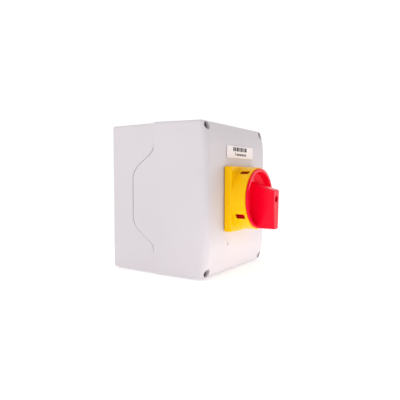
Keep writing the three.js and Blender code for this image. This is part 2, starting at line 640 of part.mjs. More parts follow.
// A four-lobed wheel whose flats hold the handle upright or level.
function latchWheel() {
  const { meanRadius, lobe, thickness, step } = LATCH_WHEEL;
  const points = [];
  for (let degrees = 0; degrees < 360; degrees += step) {
    const radius = meanRadius - lobe * Math.cos(THREE.MathUtils.degToRad(4 * degrees));
    points.push(polar(radius, degrees));
  }
  const frontY = LATCH.frontY + LATCH.floor + GAP;
  const wheel = prismY(outlineOf(points), frontY + thickness, frontY);
  return mesh('latch_wheel', wheel.subtract(squareBore(frontY + thickness, frontY)), CAM_WHITE);
}

// Two leaf springs press on the flats of the latch wheel.
function latchSprings() {
  const { z, halfWidth, thickness, bend, depth, setBack } = LATCH_SPRING;
  const endX = halfWidth + bend;
  const inner = [[-endX, z + bend], [-halfWidth, z], [halfWidth, z], [endX, z + bend]];
  const outer = inner.map(([x, height]) => [x, height + thickness]).reverse();
  const strip = outlineOf([...inner, ...outer]);
  return [0, 1].map((turn) => {
    const leaf = mesh(`latch_spring_${turn + 1}`, prismY(strip, depth, 0), SPRING_STEEL);
    leaf.position.y = LATCH.frontY + LATCH.floor + setBack;
    leaf.rotation.y = turn * Math.PI;
    return leaf;
  });
}

// One stage's housing: a floor at the front, a chamber for cam and contacts, two open terminal corners.
function stageHousing() {
  const { half, chamferSum, depth, floor } = STAGE;
  const open = [floor, depth + 1];
  const body = prismY(octagon(half, chamferSum), depth, 0);
  const camChamber = rodY(CHAMBER.camRadius, depth + 1, floor, 0, 0, HOLE_SIDES);
  const bridgeChamber = block([CHAMBER.nearX, CHAMBER.farX], open, around(0, CHAMBER.halfZ));
  const terminalCuts = [-1, 1].flatMap((side) => [
    block([TERMINAL.pocketX, half + 1], open, upwards(TERMINAL.pocketZ, half + 1, side)),
    block(
      [STRIP_X - GAP, STRIP_X + CONTACT.thickness + GAP],
      open,
      upwards(STRIP.nearZ - 2 * GAP, TERMINAL.pocketZ + 1, side),
    ),
  ]);
  const shaftHole = rodY(SHAFT_HOLE_RADIUS, depth, -1, 0, 0, HOLE_SIDES);
  const cuts = joined([camChamber, bridgeChamber, ...terminalCuts, shaftHole, tieHoles(depth + 1, -1)]);
  return body.subtract(cuts);
}

// The cam's radius grows evenly with the angle, so the contact moves in proportion to the handle.
function cam() {
  const { lowRadius, risePerRadian, thickness, turn, dwell, fall, step } = CAM;
  const rise = risePerRadian * THREE.MathUtils.degToRad(turn);
  const points = [];
  for (let degrees = 0; degrees < 360; degrees += step) {
    const down = Math.min(Math.max((degrees - turn - dwell) / fall, 0), 1);
    const up = Math.min(degrees / turn, 1);
    points.push(polar(lowRadius + rise * Math.min(up, 1 - down), -degrees));
  }
  return prismY(outlineOf(points.reverse()), thickness, 0).subtract(squareBore(thickness, 0));
}

function camFollower() {
  const { noseX, shoulder, endX } = FOLLOWER;
  const half = CONTACT.halfWidth;
  const shoulderX = noseX + shoulder;
  const outline = outlineOf([[noseX, 0], [shoulderX, -half], [endX, -half], [endX, half], [shoulderX, half]]);
  return prismY(outline, half, -half);
}

// The moving bridge and its two contact tips, closed on the fixed contacts.
function contactBridge() {
  const { halfWidth, thickness, tipRadius, tipZ } = CONTACT;
  const barX = BRIDGE.tipX + thickness;
  const bar = block([barX, barX + thickness], around(0, halfWidth), around(0, BRIDGE.halfLength));
  const tips = [-1, 1].map((side) => rodX(tipRadius, BRIDGE.tipX, barX + thickness / 2, 0, side * tipZ));
  return joined([bar, ...tips]);
}

// A fixed contact strip with its tip, from the chamber out to the terminal screw.
function fixedContact(side) {
  const { halfWidth, thickness, tipRadius, tipZ } = CONTACT;
  const farX = STRIP_X + thickness;
  const strip = block([STRIP_X, farX], around(0, halfWidth), upwards(STRIP.nearZ, STRIP.farZ, side));
  const tip = rodX(tipRadius, STRIP_X + thickness / 2, BRIDGE.tipX - GAP, 0, side * tipZ);
  const holeRadius = TERMINAL_SCREW.shankRadius + GAP;
  return strip.add(tip).subtract(rodX(holeRadius, STRIP_X - 1, farX + 1, 0, side * TERMINAL.z));
}

// Driven from the side: the shared screw turned so that its head faces +X.
function terminalScrew(name, side, y) {
  const piece = mesh(name, screw(TERMINAL_SCREW, TERMINAL_SCREW.length), ZINC);
  piece.rotation.z = Math.PI / 2;
  piece.position.set(TERMINAL_SCREW_SEAT_X, y, side * TERMINAL.z);
  return piece;
}

class Helix extends THREE.Curve {
  constructor(radius, length, turns) {
    super();
    Object.assign(this, { radius, length, turns });
  }

  getPoint(t, target = new THREE.Vector3()) {
    const angle = 2 * Math.PI * this.turns * t;
    return target.set(this.length * t, this.radius * Math.cos(angle), this.radius * Math.sin(angle));
  }
}

function bridgeSpring(length) {
  const { radius, wire, turns, stepsPerTurn } = BRIDGE_SPRING;
  const section = new THREE.Shape().absarc(0, 0, wire, 0, 2 * Math.PI);
  const extrudePath = new Helix(radius, length - 2 * wire, turns);
  const options = { steps: stepsPerTurn * turns, curveSegments: 3, extrudePath };
  const geometry = new THREE.ExtrudeGeometry(section, options);
  geometry.translate(wire, 0, 0);
  return toSolid(geometry);
}

function switchStage(number) {
  const middleY = (STAGE.floor + STAGE.depth) / 2;
  const springX = BRIDGE.tipX + 2 * CONTACT.thickness + GAP;
  const spring = bridgeSpring(CHAMBER.farX - GAP - springX);
  const ends = [['top', 1], ['bottom', -1]];
  const fixedContacts = ends.map(([end, side]) => (
    mesh(`fixed_contact_${number}_${end}`, fixedContact(side), COPPER, 0, middleY)
  ));
  const screws = ends.map(([end, side]) => terminalScrew(`terminal_screw_${number}_${end}`, side, middleY));
  const stage = group(
    mesh(`stage_housing_${number}`, stageHousing(), SWITCH_BLACK),
    mesh(`cam_${number}`, cam(), CAM_WHITE, 0, STAGE.floor + GAP),
    mesh(`cam_follower_${number}`, camFollower(), CAM_WHITE, 0, middleY),
    mesh(`contact_bridge_${number}`, contactBridge(), COPPER, 0, middleY),
    mesh(`bridge_spring_${number}`, spring, SPRING_STEEL, springX, middleY),
    ...fixedContacts,
    ...screws,
  );
  stage.position.y = STAGE.firstY + (number - 1) * STAGE_PITCH;
  return stage;
}

const END_PLATE_FRONT_Y = STAGE.firstY + STAGE.count * STAGE_PITCH;

function endPlate() {
  const frontY = END_PLATE_FRONT_Y;
  const rearY = frontY + END_PLATE_DEPTH;
  const body = prismY(octagon(STAGE.half, STAGE.chamferSum), rearY, frontY);
  const journalHole = rodY(SHAFT.journalRadius + GAP, rearY + 1, frontY - 1);
  return mesh('end_plate', body.subtract(journalHole.add(tieHoles(rearY + 1, frontY - 1))), SWITCH_BLACK);
}

// Two rods from the end plate into the latch housing, with their heads at the rear.
function tieRods() {
  const seatY = END_PLATE_FRONT_Y + END_PLATE_DEPTH + GAP;
  const length = seatY - LATCH.frontY - TIE_ROD.tipMargin;
  return [1, -1].map((side, i) => {
    const rod = mesh(`tie_rod_${i + 1}`, screw(TIE_ROD, length), ZINC);
    rod.rotation.z = Math.PI;
    rod.position.set(0, seatY, side * TIE_ROD.z);
    return rod;
  });
}

// ------------------------------------------------------------------------------------------ assembly
const housing = group(
  rearHousing(), frontCover(), coverSeal(), ...coverScrews(), nameLabel(), ...earthTerminal(),
);
const operator = group(
  frontPlate(), ...plateScrews(), shaftSeal(), handle(), lockBolt(), handleScrew(), driveShaft(),
);
const stages = Array.from({ length: STAGE.count }, (_, i) => switchStage(i + 1));
const camSwitch = group(
  latchHousing(), latchWheel(), ...latchSprings(), ...stages, endPlate(), ...tieRods(),
);

export default group(housing, operator, camSwitch);
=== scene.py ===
"""Looks for the enclosed rotary isolator switch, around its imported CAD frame.

The shapes are worked out in millimetres, +X right, +Z up and -Y towards the front, and stored in metres.
A height above the face of the cover is h = FRONT - y.
"""

import json
import math

import bmesh
import bpy
import numpy as np
from mathutils import Matrix, Vector

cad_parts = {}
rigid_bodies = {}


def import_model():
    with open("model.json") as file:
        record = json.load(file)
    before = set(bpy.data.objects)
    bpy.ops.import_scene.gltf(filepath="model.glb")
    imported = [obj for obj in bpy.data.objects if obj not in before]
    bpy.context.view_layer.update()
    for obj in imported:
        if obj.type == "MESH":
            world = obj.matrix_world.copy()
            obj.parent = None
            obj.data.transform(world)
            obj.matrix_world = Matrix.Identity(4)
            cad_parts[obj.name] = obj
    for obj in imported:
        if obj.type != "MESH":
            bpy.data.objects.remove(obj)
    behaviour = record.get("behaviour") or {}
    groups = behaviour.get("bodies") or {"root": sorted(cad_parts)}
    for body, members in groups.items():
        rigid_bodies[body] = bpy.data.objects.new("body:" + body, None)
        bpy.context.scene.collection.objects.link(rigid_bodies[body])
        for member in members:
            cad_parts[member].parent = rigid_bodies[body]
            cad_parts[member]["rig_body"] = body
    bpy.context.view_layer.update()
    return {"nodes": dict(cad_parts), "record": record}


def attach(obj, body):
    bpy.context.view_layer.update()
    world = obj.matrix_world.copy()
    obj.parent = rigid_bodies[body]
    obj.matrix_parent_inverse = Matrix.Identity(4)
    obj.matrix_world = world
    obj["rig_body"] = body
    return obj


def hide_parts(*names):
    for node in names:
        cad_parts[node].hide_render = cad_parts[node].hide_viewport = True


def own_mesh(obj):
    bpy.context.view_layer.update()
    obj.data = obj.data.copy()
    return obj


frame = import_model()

MM = 0.001

# ---------------------------------------------------------------- dimensions, mm
FRONT = -116.0  # the flat of the cover's face
WALL = 3.0
COVER_HALF = (64.0, 75.0)
COVER_CORNER = 3.0
COVER_DRAFT = 1.35  # how far each side of the cover leans in at its front edge
FACE_FLAT = 48.0  # beyond this height the face curves back
FACE_RADIUS = 68.0
FACE_INSIDE = -110.0  # clear of the face's inner side
BEYOND_FACE = -120.0  # clear of the face's outer side
BASE_HALF = (63.1, 74.1)
BASE_CORNER = 2.5
BASE_BACK_EDGE = 1.0
BASE_BACK_WALL = 3.5
INSIDE_BASE = -8.0  # clear of the back wall's inner side
LEAST_CORNER = 0.8  # radius of the sharpest rounded corner
PARTING_Y, LOBE_Y = -55.0, -28.0
LOBE_Z = (18.7, 51.7)  # the parting line swings between these heights
LOBE_PULL = (18.0, 13.0)  # how far the swing keeps its direction at each end
PARTING_GAP = 0.4
LOBE_EXTRA_GAP = 0.85
LOBE_GAP_FADE = 8.0  # height over which the gap widens
PILLAR = (56.2, 68.4)
PILLAR_RADIUS = 5.0
SHANK_BORE = 2.2
WELL_RADIUS, WELL_SEAT = 3.9, -107.0
DIMPLE_AT = (-23.4, -44.4)
DIMPLE = ((0, -115.2), (1.3, -115.2), (1.7, -115.5), (2.0, -116.5), (0, -116.5))  # radius, y
WALL_HOLE_AT, WALL_HOLE = (45, 55), 2.6
EARTH_X, EARTH_Z = 7.5, -61.0
KNOCK_OUT_X, KNOCK_OUT_Y = 28, -27
# Radius, and height above the outer face.
KNOCK_OUT_GROOVE = ((11.5, -0.9), (11.7, -1.2), (12.5, -1.2), (12.7, -0.9), (12.7, 1), (11.5, 1))
PLATE_HALF = 31.75
PLATE_CORNER = 1.5
PLATE_WALL = 2.5
PLATE_REAR, PLATE_TOP, PLATE_HOLLOW_TOP = 0.3, 8.5, 6.0
PLATE_GROOVE_TOP, PLATE_GROOVE_DEPTH = 1.0, 1.2
PLATE_SCREW = 24.0
PLATE_BOSS, PLATE_BORE = 4.5, 2.0
COLLAR_RADIUS, COLLAR_INNER, COLLAR_TOP = 31.0, 27.6, 22.4
SEAL_SEAT = (12.9, 15.0)
HUB_HOLE = 10.1
SLOT_ANGLES = (33, 123, 213, 303)
SLOT_HALF, SLOT_HEIGHTS = 2.6, (10.5, 20.0)
THINNED_HALF, THINNED_HEIGHTS, THINNED_RADIUS = 5.5, (9.5, 21.2), 29.8
SLOT_START = 20  # the cuts begin at this radius, inside the collar
RIM_RADIUS, RIM_REAR, RIM_TOP = 29.75, 22.7, 24.6
SKIRT_RADIUS, HANDLE_REAR = 27.1, 9.2
DISH_FLOOR, DISH_RADIUS = 15.5, 24.6
GRIP_TOP, GRIP_HALF_LOW, GRIP_TAPER = 41.3, 5.6, 0.048
GRIP_END_Z = 16.2  # where the sloping upper end of the grip meets the dish's floor
HUB_RADIUS, HUB_REAR = 9.5, 1.5
SHAFT_BORE_HALF, SHAFT_BORE_TOP = 3.8, 20
HANDLE_BORE, HANDLE_BORE_SEAT, HANDLE_SHANK_BORE = 3.1, 23, 2.2
BOLT_CHANNEL_START, BOLT_CHANNEL_TOP, BOLT_WINDOW = 13.2, 13.6, (15.7, 23.2)
FIELD_STEP = 0.6  # grid step of the pieces made from a distance field
LABEL_AT = (1.5, 46.3)
LABEL_HALF = (28.0, 6.1)
LABEL_LIFTS = ((0.25, 0.0), (0.0, 0.1), (0.0, 0.38), (0.08, 0.46), (0.25, 0.5))  # inset, lift
LABEL_GAP, PRINT_BASE, PRINT_TOP = 0.3, 0.78, 0.84
STAGES = (1, 2, 3)
FIRST_STAGE, STAGE_PITCH, STAGE_MIDDLE = -97.7, 12.3, 6.75

# ---------------------------------------------------------------- camera
CAMERA_MM = (-372.3, -312.8, 20.9)
CAMERA_YAW = 56.67  # degrees from +Y towards +X
CAMERA_PITCH = -3.18
CAMERA_ROLL = 0.11
LENS_MM = 36.6  # on a 36 mm sensor


def make_camera():
    data = bpy.data.cameras.new("camera")
    data.lens = LENS_MM
    data.sensor_width = 36
    data.clip_start = 0.01
    data.clip_end = 50
    camera = bpy.data.objects.new("camera", data)
    bpy.context.scene.collection.objects.link(camera)
    turn = Matrix.Rotation(-math.radians(CAMERA_YAW), 4, "Z")
    tilt = Matrix.Rotation(math.radians(90 + CAMERA_PITCH), 4, "X")
    roll = Matrix.Rotation(math.radians(CAMERA_ROLL), 4, "Z")
    camera.matrix_world = Matrix.Translation(Vector(CAMERA_MM) * MM) @ turn @ tilt @ roll
    bpy.context.scene.camera = camera


# ---------------------------------------------------------------- materials
class Look:
    """A Principled material whose colour, roughness and bump vary over the object's own coordinates."""

    def __init__(self, name, **sockets):
        self.material = bpy.data.materials.new(name)
        self.material.use_nodes = True
        self.tree = self.material.node_tree
        self.shader = self.tree.nodes["Principled BSDF"]
        self.coords = self.tree.nodes.new("ShaderNodeTexCoord").outputs["Object"]
        self.normal = None
        for key, value in sockets.items():
            self.shader.inputs[key.replace("_", " ")].default_value = value

    def node(self, kind, inputs=None, **settings):
        made = self.tree.nodes.new(kind)
        for key, value in settings.items():
            setattr(made, key, value)
        for key, value in (inputs or {}).items():
            if isinstance(value, bpy.types.NodeSocket):
                self.tree.links.new(value, made.inputs[key])
            else:
                made.inputs[key].default_value = value
        return made

    def noise(self, size_mm, detail=2.0, rough=0.5, stretch=(1, 1, 1)):
        """Smooth noise from 0 to 1 whose features are about that size."""
        scaled = self.node("ShaderNodeMapping", {"Vector": self.coords, "Scale": stretch})
        inputs = {
            "Vector": scaled.outputs[0],
            "Scale": 1 / (size_mm * MM),
            "Detail": detail,
            "Roughness": rough,
        }
        return self.node("ShaderNodeTexNoise", inputs).outputs["Fac"]

    def ranged(self, value, low, high, from_low=0.3, from_high=0.7):
        inputs = {"Value": value, "From Min": from_low, "From Max": from_high}
        inputs.update({"To Min": low, "To Max": high})
        return self.node("ShaderNodeMapRange", inputs).outputs[0]

    def mix(self, factor, a, b):
        made = self.node("ShaderNodeMix", data_type="RGBA")
        self.tree.links.new(factor, made.inputs["Factor"])
        for socket, value in ((made.inputs[6], a), (made.inputs[7], b)):
            if isinstance(value, bpy.types.NodeSocket):
                self.tree.links.new(value, socket)
            else:
                socket.default_value = (*value, 1)
        return made.outputs[2]

    def math(self, operation, a, b):
        made = self.node("ShaderNodeMath", operation=operation)
        for i, value in enumerate((a, b)):
            if isinstance(value, bpy.types.NodeSocket):
                self.tree.links.new(value, made.inputs[i])
            else:
                made.inputs[i].default_value = value
        return made.outputs[0]

    def colour(self, socket):
        self.tree.links.new(socket, self.shader.inputs["Base Color"])

    def roughness(self, socket):
        self.tree.links.new(socket, self.shader.inputs["Roughness"])

    def bump(self, height, depth_mm, strength=1.0):
        inputs = {"Height": height, "Strength": strength, "Distance": depth_mm * MM}
        if self.normal is not None:
            inputs["Normal"] = self.normal
        self.normal = self.node("ShaderNodeBump", inputs).outputs["Normal"]
        self.tree.links.new(self.normal, self.shader.inputs["Normal"])


def srgb(red, green, blue):
    """Linear colour of an 8-bit display colour."""
    parts = (red / 255, green / 255, blue / 255)
    return tuple(v / 12.92 if v <= 0.04045 else ((v + 0.055) / 1.055) ** 2.4 for v in parts)


def shaded(colour, factor):
    return tuple(min(c * factor, 1.0) for c in colour)


def plastic(name, colour, rough, grain_mm, grain_depth_mm, mottle=0.03, gloss=0.5):
    """Moulded plastic: a fine spark-eroded grain, slow colour drift, rubbed patches and a few pale scuffs."""
    look = Look(name, Specular_IOR_Level=gloss)
    drift = look.ranged(look.noise(38, 3), 0, 1)
    body = look.mix(drift, shaded(colour, 1 - mottle), shaded(colour, 1 + mottle))
    grit = look.noise(grain_mm * 4, 4, 0.65)
    body = look.mix(look.ranged(grit, 0, 0.35, 0.5, 0.75), body, shaded(colour, 1 - 2.2 * mottle))
    scuff = look.noise(9, 5, 0.7, (1, 1, 0.25))
    scuffed = look.ranged(scuff, 0, 0.22, 0.66, 0.74)
    look.colour(look.mix(scuffed, body, shaded(colour, 1 + 2 * mottle)))
    rubbed = look.ranged(look.noise(14, 4), rough - 0.05, rough + 0.07)
    look.roughness(look.math("ADD", rubbed, look.math("MULTIPLY", scuffed, 0.4)))
    look.bump(look.noise(grain_mm, 3, 0.6), grain_depth_mm)
    look.bump(look.noise(22, 2), 0.05, 0.5)
    return look.material


TARNISH = 0.12  # how much darker the stains are


def metal(name, colour, rough, brush=(1, 1, 1)):
    """Plated or drawn metal: fine tool marks, duller patches and faint stains."""
    look = Look(name, Metallic=1.0)
    stain = look.ranged(look.noise(3.5, 4, 0.6), 0, 1, 0.4, 0.75)
    look.colour(look.mix(stain, colour, shaded(colour, 1 - TARNISH)))
    look.roughness(look.ranged(look.noise(1.6, 3), rough - 0.08, rough + 0.14))
    look.bump(look.noise(0.25, 3, 0.6, brush), 0.01)
    look.bump(look.noise(1.2, 3), 0.02, 0.6)
    return look.material


def rubber(name, colour):
    """Black rubber: soft sheen and a little pale dust."""
    look = Look(name, Specular_IOR_Level=0.3)
    dust = look.ranged(look.noise(2.5, 4, 0.7), 0, 0.5, 0.5, 0.8)
    look.colour(look.mix(dust, colour, shaded(colour, 2.2)))
    look.roughness(look.ranged(look.noise(1.5, 3), 0.7, 0.9))
    look.bump(look.noise(0.4, 3), 0.02)
    return look.material


def make_looks():
    return {
        "housing_grey": plastic("housing_grey", srgb(217, 210, 214), 0.42, 0.45, 0.02, 0.012, 0.22),
        "safety_yellow": plastic("safety_yellow", srgb(255, 196, 0), 0.26, 0.8, 0.008, 0.02, 0.15),
        "safety_red": plastic("safety_red", srgb(250, 0, 46), 0.24, 0.8, 0.008, 0.02, 0.15),
        "label_white": plastic("label_white", srgb(250, 240, 240), 0.45, 0.35, 0.01, 0.01),
        "seal_rubber": rubber("seal_rubber", srgb(42, 42, 44)),
        "switch_black": plastic("switch_black", srgb(40, 42, 46), 0.45, 0.5, 0.03, 0.08),
        "print_black": plastic("print_black", srgb(34, 30, 36), 0.5, 0.3, 0.004, 0.05),
        # Darker than zinc. Only the cover screws use it, so that their deep wells look darker.
        "dark_steel": metal("dark_steel", srgb(104, 104, 108), 0.38),
        "cam_white": plastic("cam_white", srgb(228, 224, 212), 0.42, 0.6, 0.01, 0.02),
        "zinc_steel": metal("zinc_steel", srgb(186, 190, 196), 0.3),
        "spring_steel": metal("spring_steel", srgb(150, 152, 156), 0.26, (1, 1, 6)),
        "brass": metal("brass", srgb(205, 165, 82), 0.3, (1, 5, 1)),
        "copper": metal("copper", srgb(196, 122, 84), 0.3, (1, 1, 5)),
    }


def paint_frame(looks):
    """Gives each CAD node the look of its slot."""
    for row in frame["record"]["subparts"]:
        node = frame["nodes"][row["node"]]
        node.data.materials.clear()
        node.data.materials.append(looks[row["material_slot"]])


# ---------------------------------------------------------------- mesh helpers
def add_piece(name, vertices, faces, look, body, nodes, smooth):
    """A new object in the row frame, from millimetres, riding on a body and standing for CAD nodes."""
    mesh = bpy.data.meshes.new(name)
    mesh.from_pydata((np.asarray(vertices, float) * MM).tolist(), [], faces)
    piece = bpy.data.objects.new(name, mesh)
    bpy.context.scene.collection.objects.link(piece)
    tidy_mesh(mesh)
    finish_piece(piece, look, body, nodes, smooth)
    return piece


def tidy_mesh(mesh):
    """Joins points in the same place and turns the faces outwards."""
    cage = bmesh.new()
    cage.from_mesh(mesh)
    bmesh.ops.remove_doubles(cage, verts=cage.verts, dist=0.001 * MM)
    bmesh.ops.recalc_face_normals(cage, faces=cage.faces)
    cage.to_mesh(mesh)
    cage.free()


def finish_piece(piece, look, body, nodes, smooth):
    """Look, body and CAD nodes of a piece; edges up to smooth degrees are shaded as round."""
    mesh = piece.data
    mesh.materials.clear()
    mesh.materials.append(look)
    if smooth is not None:
        mesh.shade_smooth()
        mesh.set_sharp_from_angle(angle=math.radians(smooth))
    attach(piece, body)
    if nodes:
        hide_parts(*nodes)


def plain_object(name, vertices, faces):
    """An object from millimetres that rides on nothing yet: a boolean's tool, or a piece being worked on."""
    mesh = bpy.data.meshes.new(name)
    mesh.from_pydata((np.asarray(vertices, float) * MM).tolist(), [], faces)
    made = bpy.data.objects.new(name, mesh)
    bpy.context.scene.collection.objects.link(made)
    tidy_mesh(mesh)
    return made


def combine(piece, operation, tool):
    """Applies one boolean to a piece that has no parent yet, and removes the tool."""
    change = piece.modifiers.new("combine", "BOOLEAN")
    change.operation = operation
    change.solver = "EXACT"
    change.object = tool
    graph = bpy.context.evaluated_depsgraph_get()
    made = bpy.data.meshes.new_from_object(piece.evaluated_get(graph))
    piece.modifiers.clear()
    old = piece.data
    piece.data = made
    bpy.data.meshes.remove(old)
    bpy.data.objects.remove(tool)


def stack(rings, cap_first=True, cap_last=True):
    """Vertices and faces of a surface through closed rings with the same number of points."""
    count = len(rings[0])
    faces = []
    for level in range(len(rings) - 1):
        for i in range(count):
            j = (i + 1) % count
            a, b = level * count, (level + 1) * count
            faces.append((a + i, a + j, b + j, b + i))
    if cap_first:
        faces.append(tuple(range(count))[::-1])
    if cap_last:
        faces.append(tuple(range((len(rings) - 1) * count, len(rings) * count)))
    return np.concatenate(rings), faces


def turned(profile, sides=48, centre=(0.0, 0.0), upright=False):
    """A solid of revolution about Y, or about Z if upright, from (radius, position along the axis) pairs."""
    angles = np.linspace(0, 2 * math.pi, sides, endpoint=False)
    rings = []
    for radius, along in profile:
        r = max(radius, 1e-4)
        u, v = r * np.cos(angles) + centre[0], r * np.sin(angles) + centre[1]
        w = np.full(sides, float(along))
        rings.append(np.stack((u, v, w) if upright else (u, w, v), 1))
    return stack(rings)


def merged(parts):
    """Several (vertices, faces) pairs as one."""
    vertices, faces, start = [], [], 0
    for some, polygons in parts:
        vertices.append(some)
        faces += [tuple(i + start for i in polygon) for polygon in polygons]
        start += len(some)
    return np.concatenate(vertices), faces


def rod(radius, rear, front, x=0.0, z=0.0, sides=48):
    """A round bar along Y."""
    return turned([(0, rear), (radius, rear), (radius, front), (0, front)], sides, (x, z))


# ---------------------------------------------------------------- solids from a distance field
def round_join(a, b, radius):
    """Union of two distances with a fillet of that radius."""
    u = np.hypot(np.maximum(radius - a, 0), np.maximum(radius - b, 0))
    return np.maximum(radius, np.minimum(a, b)) - u


def round_meet(a, b, radius):
    """Intersection of two distances with a rounded edge of that radius."""
    u = np.hypot(np.maximum(radius + a, 0), np.maximum(radius + b, 0))
    return np.minimum(-radius, np.maximum(a, b)) + u


def slab(value, low, high):
    """Distance to the space between two values."""
    return np.maximum(low - value, value - high)


def field_mesh(distance, low, high, step):
    """A closed quad mesh of distance(x, y, z) = 0 by surface nets, its points then moved onto the surface."""
    axes = [np.arange(a - 1.5 * step, b + 2.5 * step, step) for a, b in zip(low, high)]
    shape = [len(a) for a in axes]
    grid = np.meshgrid(*axes, indexing="ij")
    value = distance(*grid)
    value[value == 0] = 1e-9
    cells = tuple(n - 1 for n in shape)
    total, weight = np.zeros((*cells, 3)), np.zeros(cells)
    corner = [(i, j, k) for i in (0, 1) for j in (0, 1) for k in (0, 1)]
    view = {c: value[tuple(slice(c[d], c[d] + cells[d]) for d in range(3))] for c in corner}
    for a in corner:
        for d in range(3):
            if a[d]:
                continue
            b = tuple(v + (d == n) for n, v in enumerate(a))
            crossed = (view[a] < 0) != (view[b] < 0)
            share = np.where(crossed, view[a] / np.where(crossed, view[a] - view[b], 1), 0)
            for n in range(3):
                total[..., n] += np.where(crossed, a[n] + (share if n == d else 0), 0)
            weight += crossed
    active = weight > 0
    index = np.full(cells, -1)
    index[active] = np.arange(active.sum())
    place = np.argwhere(active) + total[active] / weight[active][:, None]
    points = np.stack([axes[n][0] + place[:, n] * step for n in range(3)], 1)
    quads = []
    for d in range(3):
        e, f = [n for n in range(3) if n != d]
        inner = [slice(0, shape[n] - 1) if n == d else slice(1, shape[n] - 1) for n in range(3)]
        ahead = list(inner)
        ahead[d] = slice(1, shape[d])
        first, second = value[tuple(inner)], value[tuple(ahead)]
        for into, where in ((True, (first < 0) & (second >= 0)), (False, (first >= 0) & (second < 0))):
            cell = np.argwhere(where)
            cell[:, e] += 1
            cell[:, f] += 1
            around = []
            for de, df in ((0, 0), (1, 0), (1, 1), (0, 1)):
                at = cell.copy()
                at[:, e] -= de
                at[:, f] -= df
                around.append(index[at[:, 0], at[:, 1], at[:, 2]])
            quad = np.stack(around, 1)
            outward = into == (d != 1)
            quads.append(quad if outward else quad[:, ::-1])
    for _ in range(4):
        here, slope = field_slope(distance, points)
        move = here[:, None] * slope / np.maximum((slope**2).sum(1), 1e-6)[:, None]
        length = np.linalg.norm(move, axis=1, keepdims=True)
        points = points - move * np.minimum(1, 0.4 * step / np.maximum(length, 1e-9))
    return points, np.concatenate(quads)


SLOPE_REACH = 0.03


def field_slope(distance, points):
    """The distance at each point, and its gradient."""
    here = distance(*points.T)
    slope = []
    for n in range(3):
        shift = np.zeros(3)
        shift[n] = SLOPE_REACH
        slope.append((distance(*(points + shift).T) - distance(*(points - shift).T)) / (2 * SLOPE_REACH))
    return here, np.stack(slope, 1)


def add_field_piece(name, distance, low, high, look, body, nodes):
    """A piece from a distance field, shaded with the field's own slope so that fillets stay smooth."""
    points, quads = field_mesh(distance, low, high, FIELD_STEP)
    slope = field_slope(distance, points)[1]
    mesh = bpy.data.meshes.new(name)
    mesh.from_pydata((points * MM).tolist(), [], quads.tolist())
    piece = bpy.data.objects.new(name, mesh)
    bpy.context.scene.collection.objects.link(piece)
    finish_piece(piece, look, body, nodes, None)
    mesh.shade_smooth()
    unit = slope / np.maximum(np.linalg.norm(slope, axis=1, keepdims=True), 1e-9)
    mesh.normals_split_custom_set_from_vertices(unit.tolist())


# ---------------------------------------------------------------- the two housings
CORNER_STEPS = 10
SIDE_Z = np.concatenate([  # heights of the points up each side, as parts of the corner centre's height
    np.linspace(-1, -0.76, 7)[:-1],
    np.linspace(-0.76, -0.25, 25)[:-1],
    np.linspace(-0.25, 0.25, 5)[:-1],
    np.linspace(0.25, 0.76, 25)[:-1],
    np.linspace(0.76, 1, 7),
])
SIDE_X = np.linspace(-1, 1, 15)


def outline(half, radius, inset=0.0):
    """A rounded rectangle, drawn in by an inset, as (x, z) points and their outward directions."""
    radius = max(radius - inset, LEAST_CORNER)
    centre = np.array(half) - inset - radius
    quarter = np.linspace(0, math.pi / 2, CORNER_STEPS + 1)[1:-1]
    points, ways = [], []
    for turn in range(4):
        vertical = turn % 2 == 0
        along = SIDE_Z if vertical else SIDE_X
        span, off = (centre[1], centre[0] + radius) if vertical else (centre[0], centre[1] + radius)
        way = [(1, 0), (0, 1), (-1, 0), (0, -1)][turn]
        for t in along:
            forward = t * span * (1 if turn in (0, 3) else -1)
            points.append((way[0] * off, forward) if vertical else (forward, way[1] * off))
            ways.append(way)
        corner = [(1, 1), (-1, 1), (-1, -1), (1, -1)][turn]
        for angle in quarter + turn * math.pi / 2:
            d = (math.cos(angle), math.sin(angle))
            points.append((corner[0] * centre[0] + radius * d[0], corner[1] * centre[1] + radius * d[1]))
            ways.append(d)
    return np.array(points), np.array(ways, float)


def ring(points, y):
    """(x, z) points as (x, y, z), at one y or at one for each point."""
    return np.stack([points[:, 0], np.broadcast_to(y, len(points)), points[:, 1]], 1)


def parting(z):
    """Where the parting line is at each height: a lobe in the middle, joined by a smooth swing."""
    t = np.linspace(0, 1, 60)
    y = (1 - t) ** 2 * (1 + 2 * t) * LOBE_Y + t**2 * (3 - 2 * t) * PARTING_Y
    (low, high), (first, last) = LOBE_Z, LOBE_PULL
    a, b, c, d = low, low + first, high - last, high
    height = (1 - t) ** 3 * a + 3 * (1 - t) ** 2 * t * b + 3 * (1 - t) * t**2 * c + t**3 * d
    return np.interp(np.abs(z), height, y)


def parting_of(points, sideways):
    """The parting line's place for outline points: the lobes are on the sides only."""
    return np.where(np.abs(sideways[:, 0]) > 0.999, parting(points[:, 1]), PARTING_Y)


def gap_at(points, sideways):
    """The parting gap: narrow round the top and bottom, wider along the lobes at the sides."""
    lobe = np.clip((LOBE_Z[1] + LOBE_GAP_FADE / 2 - np.abs(points[:, 1])) / LOBE_GAP_FADE, 0, 1)
    return PARTING_GAP + np.where(np.abs(sideways[:, 0]) > 0.999, lobe * LOBE_EXTRA_GAP, 0)


def face_y(z, inset):
    """Where the face is at a height: flat in the middle, curved back above and below."""
    beyond = np.maximum(np.abs(z) - FACE_FLAT, 0)
    radius = FACE_RADIUS - inset
    return FRONT + inset + radius - np.sqrt(radius**2 - beyond**2)


